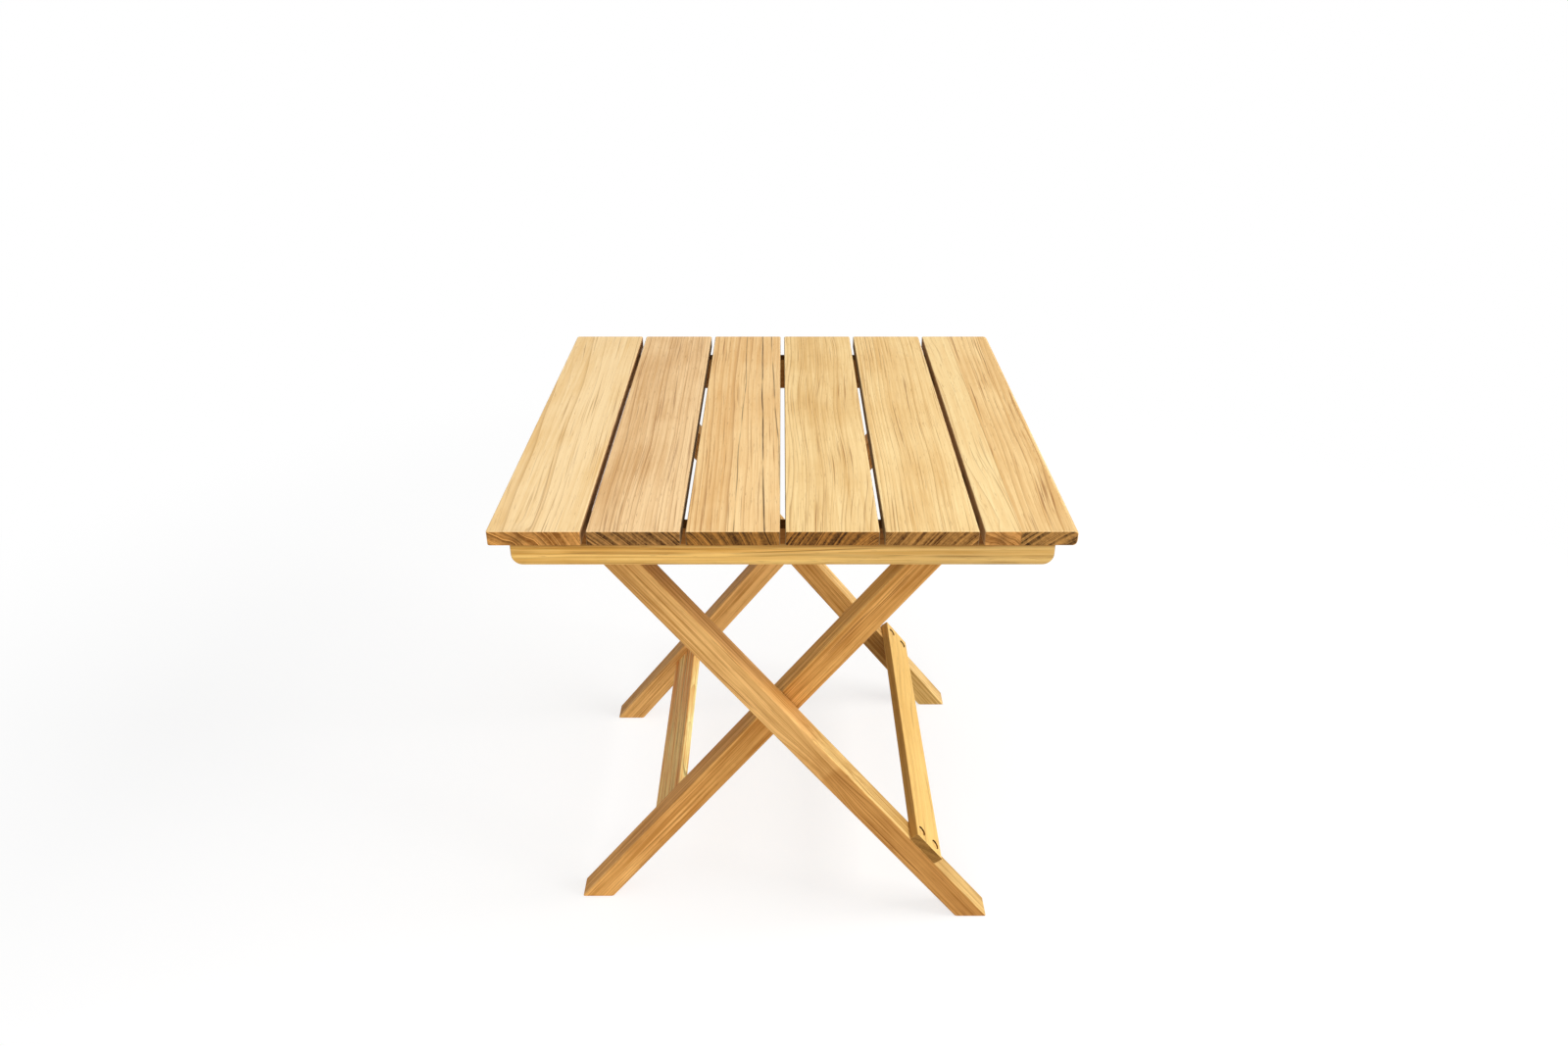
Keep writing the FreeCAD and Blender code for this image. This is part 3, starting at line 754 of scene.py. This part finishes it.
# Legs
legLook = {"pale": paint(241, 190, 118), "mid": paint(186, 131, 64), "dark": paint(138, 84, 30),
           "endPale": paint(190, 130, 64), "endDark": paint(134, 84, 34), "pith": (-0.11, 0.09),
           "ringSpacing": 0.0018, "taper": 0.01, "line": 0.9, "tone": 0.35, "hair": 0.8, "fibre": 3.0}
legFades = {
    "ruddy": allOver((0.95, 0.86, 0.70)),
    "golden": allOver((0.95, 0.91, 0.86)),
    "shadeUnderTop": fade(-0.15, -0.26, (0.74, 0.69, 0.58)),  # painted shade on the upper ends under the top
    "deepShade": fade(-0.08, -0.16, (0.5, 0.42, 0.33), side=frontward),
    "browned": fade(0.0, 0.05, (0.93, 0.88, 0.80), side=frontward),
    "browner": fade(0.075, 0.09, (0.81, 0.73, 0.62), side=frontward),
    # painted shade on the front faces of a rear leg
    "shadedFront": allOver((0.84, 0.80, 0.70), frontward),
    # painted shadow of the board on a rear leg's front, then lifted again and paler further down
    "shadowBesideBoard": fade(0.15, 0.19, (0.53, 0.53, 0.49), side=frontward),
    "paleAfterShadow": fade(0.23, 0.26, (2.15, 2.5, 3.0), side=frontward),
    # painted light on the legs' upper faces
    "litUpper": allOver((1.08, 1.22, 1.35), outerUpper),
    "litOuterUpper": fade(0.0, 0.05, (1.06, 1.25, 1.36), side=outerUpper),
    "litInnerUpper": fade(0.06, 0.0, (1.16, 1.40, 1.55), side=innerUpper),
    "paleShin": fade(0.05, 0.20, (1.16, 1.18, 1.30)),
    "paleFoot": fade(0.22, 0.29, (1.12, 1.18, 1.25)),
    "paleToe": fade(0.22, 0.27, (1.05, 1.11, 1.2)),
    "darkFoot": fade(0.20, 0.28, (0.91, 0.88, 0.84)),
}
legs = {
    "outer_leg_front": {"seed": 21.3, "knots": (((0.002, 0.066, -0.0135), 0.035, 0.9, 0.12),),
                        "fades": ("browned", "browner", "litOuterUpper", "shadeUnderTop", "darkFoot")},
    "outer_leg_rear": {"seed": 22.8, "fades": ("shadedFront", "litUpper", "shadeUnderTop", "deepShade",
                                               "shadowBesideBoard", "paleAfterShadow", "paleToe")},
    "inner_leg_front": {"seed": 23.5, "fades": ("ruddy", "shadeUnderTop", "litInnerUpper", "paleShin", "paleFoot")},
    "inner_leg_rear": {"seed": 24.1, "fades": ("golden", "shadeUnderTop", "deepShade")},
}


def dressLegs():
    for name, leg in legs.items():
        along, across = (outerDown, outerUpper) if name.startswith("outer") else (innerDown, innerUpper)
        fades = [legFades[key] for key in leg["fades"]]
        changes = dict(legLook, **dict(leg, fades=fades))
        look = boardLook(name, along, across, halfSize=halfSizes["leg"], **changes)
        look["centre"] = Vector((0.0, look["centre"].y, crossing.z))
        dressNode(name, woodMaterial(name.replace("_", "") + "Wood", look))


# Boards across the legs, with painted shade round each plug
plugSizes = {"radius": 0.005, "thickness": 0.002, "ease": 0.0004, "spacing": 0.024, "reach": 0.1875,
             "sides": 40}
plugLook = {"pale": paint(250, 210, 132), "mid": paint(232, 182, 104), "seed": 35.1}
# painted shade in the recess round each plug
plugShade = {"offset": 0.0002, "width": 0.0004, "darkness": 0.9}
# facing and shade paint shade on the narrow face that turns away from the light
outerBoardLook = {"pale": paint(245, 203, 122), "mid": paint(229, 182, 100), "pith": (0.09, -0.2),
                  "line": 0.3, "fibre": 1.4, "hair": 0.4, "ringSpacing": 0.005, "seed": 31.7,
                  "endPale": paint(168, 122, 60), "endDark": paint(128, 88, 38),
                  "facing": -outerDown, "shade": 0.5}
innerBoardLook = {"pale": paint(255, 220, 142), "mid": paint(226, 147, 73), "dark": paint(112, 66, 24),
                  "pith": (-0.06, 0.0), "fibre": 4.0, "band": 0.9, "hair": 1.0, "seed": 32.6,
                  "streaks": ((-0.008, -0.004, 0.0018, 0.0, 0.5), (0.006, 0.010, 0.0012, 0.0, 0.45)),
                  # painted light on the narrow face that turns towards the light
                  "fades": (allOver((1.0, 1.32, 1.6), -innerDown),)}


def plugShadeRings():
    radius = plugSizes["radius"] + plugShade["offset"]
    shadeRings = []
    for side in pairSides:
        for y in (-plugSizes["reach"], plugSizes["reach"]):
            place = (side * plugSizes["spacing"], y, 0.0)
            shadeRings.append((place, radius, plugShade["width"], plugShade["darkness"]))
    return shadeRings


def dressStretchers():
    changes = dict(legLook, **dict(outerBoardLook, shadeRings=plugShadeRings()))
    look = boardLook("outer_stretcher", forward, outerDown, halfSize=halfSizes["outerBoard"], **changes)
    dressNode("outer_stretcher", woodMaterial("outerStretcherWood", look))
    changes = dict(legLook, **innerBoardLook)
    look = boardLook("inner_stretcher", forward, innerDown, halfSize=halfSizes["innerBoard"], **changes)
    dressNode("inner_stretcher", woodMaterial("innerStretcherWood", look))


# Rod and dowels
turnedWoods = {"rest_rod": ("rodWood", 33.3), "stretcher_dowels": ("dowelWood", 34.4)}


def dressTurned():
    for node, (name, seed) in turnedWoods.items():
        look = boardLook(node, forward, rightward, halfSize=halfSizes["rod"], **dict(legLook, seed=seed))
        dressNode(node, woodMaterial(name, look))


dressBattens()
dressLegs()
dressStretchers()
dressTurned()
print("battens, legs, stretchers, rests and rod dressed")


# Metal
metalLooks = {
    "steelFinish": {"clean": (0.62, 0.62, 0.61, 1.0), "dull": (0.36, 0.35, 0.34, 1.0), "rough": 0.3},
    "brassFinish": {"clean": (0.72, 0.56, 0.28, 1.0), "dull": (0.36, 0.25, 0.11, 1.0), "rough": 0.32},
}
metalFinish = {"Metallic": 1.0, "Specular IOR Level": 0.5, "bump": 0.2, "bumpDepth": 0.0001}
tarnishSizes = {"cloud": (240.0, 240.0, 240.0), "cloudSeed": 1.0, "cloudDetail": 4.0,
                "cloudPick": (0.45, 0.75), "cloudShare": 0.7, "cloudRough": 0.25,
                "scratch": (3000.0, 300.0, 3000.0), "scratchSeed": 2.0, "scratchRough": 0.12}


def makeTarnish():
    inputs = listed(("Clean", "Dull"), colourSocket) + [("Rough", floatSocket)]
    tree, given, result = startGroup("tarnish", inputs, surfaceOutputs)
    place = coordinates(tree, "Object")
    cloud = noise(tree, stretch(tree, place, tarnishSizes["cloud"]), tarnishSizes["cloudSeed"],
                  tarnishSizes["cloudDetail"]).outputs[0]
    cloud = rise(tree, cloud, *tarnishSizes["cloudPick"])
    lines = stretch(tree, place, tarnishSizes["scratch"])
    scratch = noise(tree, lines, tarnishSizes["scratchSeed"]).outputs[0]
    share = times(tree, cloud, tarnishSizes["cloudShare"])
    feed(tree, result["Color"], blend(tree, share, given["Clean"], given["Dull"]))
    rough = mulAdd(tree, cloud, tarnishSizes["cloudRough"], given["Rough"])
    feed(tree, result["Roughness"], mulAdd(tree, scratch, tarnishSizes["scratchRough"], rough))
    feed(tree, result["Height"], scratch)
    return tree


tarnish = makeTarnish()


def metalMaterial(name):
    look = metalLooks[name]
    material, tree = startMaterial(name)
    worn = useGroup(tree, tarnish, {"Clean": look["clean"], "Dull": look["dull"], "Rough": look["rough"]})
    finishSurface(tree, metalFinish, worn["Color"], worn["Roughness"], worn["Height"])
    return material


steel = metalMaterial("steelFinish")
brass = metalMaterial("brassFinish")
for node in ("hinge_pins", "pivot_pins", "stretcher_screws"):
    dressNode(node, steel)
for node in ("hinge_washers", "pivot_washers"):
    dressNode(node, brass)


# Screws under the top
screwSizes = {"headRadius": 0.00375, "headHeight": 0.002, "crown": 0.0007, "shankRadius": 0.002,
              "recessLength": 0.0044, "recessWidth": 0.0010, "recessDepth": 0.0013, "slatSpacing": 0.044,
              "headSides": 24, "shankSides": 16, "crownShare": 0.72, "turnSeed": 4}
screwLabels = ("Head Radius", "Head Height", "Crown", "Shank Radius", "Recess Length", "Recess Width",
               "Recess Depth")


def makeScrewShape():
    tree, given, result = startShape("screwShape", listed((*screwLabels, "Shank Length"), floatSocket))
    rim = minus(tree, given["Head Height"], given["Crown"])
    values = {"Vertices": screwSizes["headSides"], "Radius": given["Head Radius"], "Depth": rim}
    drum = addNode(tree, "GeometryNodeMeshCylinder", values)
    narrow = times(tree, given["Head Radius"], screwSizes["crownShare"])
    values = {"Vertices": screwSizes["headSides"], "Radius Top": given["Head Radius"],
              "Radius Bottom": narrow, "Depth": given["Crown"]}
    crown = addNode(tree, "GeometryNodeMeshCone", values)
    values = {"Vertices": screwSizes["shankSides"], "Radius": given["Shank Radius"],
              "Depth": given["Shank Length"]}
    shank = addNode(tree, "GeometryNodeMeshCylinder", values)

    def atHeight(geometry, height):
        place = combine(tree, {"Z": height})
        return moveShape(tree, geometry.outputs["Mesh"], place)

    drumHeight = mulAdd(tree, rim, 0.5, given["Crown"])
    shankHeight = mulAdd(tree, given["Shank Length"], 0.5, given["Head Height"])
    body = joinShapes(tree, atHeight(drum, drumHeight), atHeight(crown, 0.0))
    twice = times(tree, given["Recess Depth"], 2.0)
    bars = []
    for first, second in (("Recess Length", "Recess Width"), ("Recess Width", "Recess Length")):
        size = combine(tree, {"X": given[first], "Y": given[second], "Z": twice})
        bars.append(addNode(tree, "GeometryNodeMeshCube", {"Size": size}).outputs["Mesh"])
    cut = addNode(tree, "GeometryNodeMeshBoolean", {"Mesh 1": body}, operation="DIFFERENCE")
    for bar in bars:
        tree.links.new(bar, cut.inputs["Mesh 2"])
    screw = joinShapes(tree, cut.outputs["Mesh"], atHeight(shank, shankHeight))
    values = {"Min": (0.0, 0.0, 0.0), "Max": (0.0, 0.0, math.tau), "Seed": screwSizes["turnSeed"]}
    turn = addNode(tree, "FunctionNodeRandomValue", values, data_type="FLOAT_VECTOR").outputs[0]
    values = {"Points": given["Geometry"], "Instance": screw, "Rotation": turn}
    placed = addNode(tree, "GeometryNodeInstanceOnPoints", values)
    endShape(tree, given, result, placed.outputs[0])
    return tree


def slatScrewHeads():
    points = []
    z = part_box("slat_screws")[0].z
    for batten in ("front_batten", "rear_batten"):
        low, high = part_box(batten)
        for number in range(1, len(slatLooks) + 1):
            left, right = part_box(f"slat_{number}")
            middle = (left.x + right.x) / 2
            for side in pairSides:
                points.append((middle + side * screwSizes["slatSpacing"], (low.y + high.y) / 2, z))
    return points


def restScrewHeads():
    low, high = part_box("rod_rest_screws")
    inset = screwSizes["headRadius"]
    points = []
    for rest in ("rod_rest_front", "rod_rest_rear"):
        near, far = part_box(rest)
        for x in (low.x + inset, high.x - inset):
            points.append((x, (near.y + far.y) / 2, low.z))
    return points


def buildScrews():
    shape = makeScrewShape()
    values = {label: screwSizes[keyOf(label)] for label in screwLabels}
    values["Material"] = steel
    for name, node, points in (("slatScrews", "slat_screws", slatScrewHeads()),
                               ("restScrews", "rod_rest_screws", restScrewHeads())):
        low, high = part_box(node)
        length = high.z - low.z - screwSizes["headHeight"]
        piece = makePiece(name, shape, dict(values, **{"Shank Length": length}), points)
        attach(piece, "tabletop")
        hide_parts(node)
        print(name, len(points))


buildScrews()


# Plugs over the stretcher screws
def makePlugShape():
    inputs = listed(("Radius", "Thickness", "Ease"), floatSocket) + [("Facing", vectorSocket)]
    tree, given, result = startShape("plugShape", inputs)
    straight = minus(tree, given["Thickness"], given["Ease"])
    values = {"Vertices": plugSizes["sides"], "Radius": given["Radius"], "Depth": straight}
    drum = addNode(tree, "GeometryNodeMeshCylinder", values)
    inner = minus(tree, given["Radius"], given["Ease"])
    values = {"Vertices": plugSizes["sides"], "Radius Top": inner, "Radius Bottom": given["Radius"],
              "Depth": given["Ease"]}
    rim = addNode(tree, "GeometryNodeMeshCone", values)
    half = combine(tree, {"Z": times(tree, straight, 0.5)})
    top = combine(tree, {"Z": straight})
    drum = moveShape(tree, drum.outputs["Mesh"], half)
    plug = joinShapes(tree, drum, moveShape(tree, rim.outputs["Mesh"], top))
    turn = addNode(tree, "FunctionNodeAlignRotationToVector", {"Vector": given["Facing"]}, axis="Z")
    values = {"Points": given["Geometry"], "Instance": plug, "Rotation": turn.outputs[0]}
    placed = addNode(tree, "GeometryNodeInstanceOnPoints", values)
    endShape(tree, given, result, placed.outputs[0])
    return tree


def plugFeet():
    low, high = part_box("stretcher_plugs")
    across = (low + high) / 2
    middle = Vector((across.x, 0.0, across.z)) - outerUpper * plugSizes["thickness"] / 2
    points = []
    for leg in ("outer_leg_front", "outer_leg_rear"):
        near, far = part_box(leg)
        for side in pairSides:
            point = middle + outerDown * side * plugSizes["spacing"]
            points.append((point.x, (near.y + far.y) / 2, point.z))
    return points


def buildPlugs():
    changes = dict(legLook, **plugLook)
    look = boardLook("stretcher_plugs", forward, outerDown, halfSize=halfSizes["rod"], **changes)
    wood = woodMaterial("plugWood", look)
    values = {"Radius": plugSizes["radius"], "Thickness": plugSizes["thickness"], "Ease": plugSizes["ease"],
              "Facing": outerUpper, "Material": wood}
    points = plugFeet()
    piece = makePiece("stretcherPlugs", makePlugShape(), values, points)
    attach(piece, "outer_frame")
    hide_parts("stretcher_plugs")
    print("plugs:", len(points))


buildPlugs()


# Floor, light and camera
stageSizes = {"floorReach": 30.0, "fadeStart": 0.75, "fadeEnd": 1.5, "floorColour": (0.8, 0.8, 0.8, 1.0),
              "shownColour": (0.34, 0.34, 0.34, 1.0), "lift": 0.71, "sky": 0.25}


def seenDirectly(tree):  # camera, mirror and glass rays
    path = addNode(tree, "ShaderNodeLightPath").outputs
    seen = larger(tree, path["Is Camera Ray"], path["Is Glossy Ray"])
    return larger(tree, seen, path["Is Transmission Ray"])


def buildFloor():
    reach = stageSizes["floorReach"]
    mesh = bpy.data.meshes.new("floor")
    mesh.from_pydata([(-reach, -reach, 0), (reach, -reach, 0), (reach, reach, 0), (-reach, reach, 0)], [],
                     [(0, 1, 2, 3)])
    floor = bpy.data.objects.new("floor", mesh)
    scene.collection.objects.link(floor)
    material, tree = startMaterial("paleFloor")
    tree.nodes.remove(tree.nodes["Principled BSDF"])
    plain = addNode(tree, "ShaderNodeBsdfDiffuse", {"Color": stageSizes["floorColour"]}).outputs[0]
    shown = addNode(tree, "ShaderNodeBsdfDiffuse", {"Color": stageSizes["shownColour"]}).outputs[0]
    lift = addNode(tree, "ShaderNodeEmission", {"Strength": stageSizes["lift"]}).outputs[0]
    near = addNode(tree, "ShaderNodeAddShader", {0: shown, 1: lift}).outputs[0]
    white = addNode(tree, "ShaderNodeEmission", {"Strength": 1.0}).outputs[0]
    distance = vectorCalc(tree, "LENGTH", coordinates(tree, "Object"))["Value"]
    far = rise(tree, distance, stageSizes["fadeStart"], stageSizes["fadeEnd"])
    look = addNode(tree, "ShaderNodeMixShader", {0: far, 1: near, 2: white}).outputs[0]
    mixed = addNode(tree, "ShaderNodeMixShader", {0: seenDirectly(tree), 1: plain, 2: look}).outputs[0]
    feed(tree, tree.nodes["Material Output"].inputs["Surface"], mixed)
    mesh.materials.append(material)


def buildSky():
    world = bpy.data.worlds.new("softRoom")
    scene.world = world
    world.use_nodes = True
    tree = world.node_tree
    background = tree.nodes["Background"]
    background.inputs["Color"].default_value = (1.0, 1.0, 1.0, 1.0)
    seen = seenDirectly(tree)
    rest = minus(tree, 1.0, seen)
    feed(tree, background.inputs["Strength"], mulAdd(tree, rest, stageSizes["sky"], seen))


lamps = {"topPanel": {"place": (-0.4, -0.4, 3.0), "aim": (0.0, 0.0, 0.45), "size": 3.0, "power": 32.5},
         "rightPanel": {"place": (3.3, -0.5, 2.1), "aim": (0.0, 0.0, 0.3), "size": 2.2, "power": 115.0},
         "frontPanel": {"place": (-0.2, -3.4, 1.3), "aim": (0.0, 0.0, 0.3), "size": 2.0, "power": 44.0}}


def buildLamps():
    for name, lamp in lamps.items():
        data = bpy.data.lights.new(name, "AREA")
        data.shape = "SQUARE"
        data.size = lamp["size"]
        data.energy = lamp["power"]
        light = bpy.data.objects.new(name, data)
        light.location = lamp["place"]
        light.rotation_euler = (Vector(lamp["aim"]) - light.location).to_track_quat("-Z", "Y").to_euler()
        scene.collection.objects.link(light)


cameraView = {"focal": 1176.98, "picture": 1600, "sensor": 36.0, "place": (-0.0007, -1.1007, 0.9627),
              "down": 28.10, "toRight": 0.12, "roll": 0.04}


def buildCamera():
    data = bpy.data.cameras.new("camera")
    data.sensor_width = cameraView["sensor"]
    data.lens = cameraView["sensor"] * cameraView["focal"] / cameraView["picture"]
    camera = bpy.data.objects.new("camera", data)
    camera.location = cameraView["place"]
    turn = Matrix.Rotation(math.radians(-cameraView["toRight"]), 3, "Z")
    tilt = Matrix.Rotation(math.radians(90 - cameraView["down"]), 3, "X")
    roll = Matrix.Rotation(math.radians(cameraView["roll"]), 3, "Z")
    camera.rotation_euler = (turn @ tilt @ roll).to_euler()
    scene.collection.objects.link(camera)
    scene.camera = camera


buildFloor()
buildSky()
buildLamps()
buildCamera()
scene.view_settings.view_transform = "Standard"
print("stage, light and camera set")
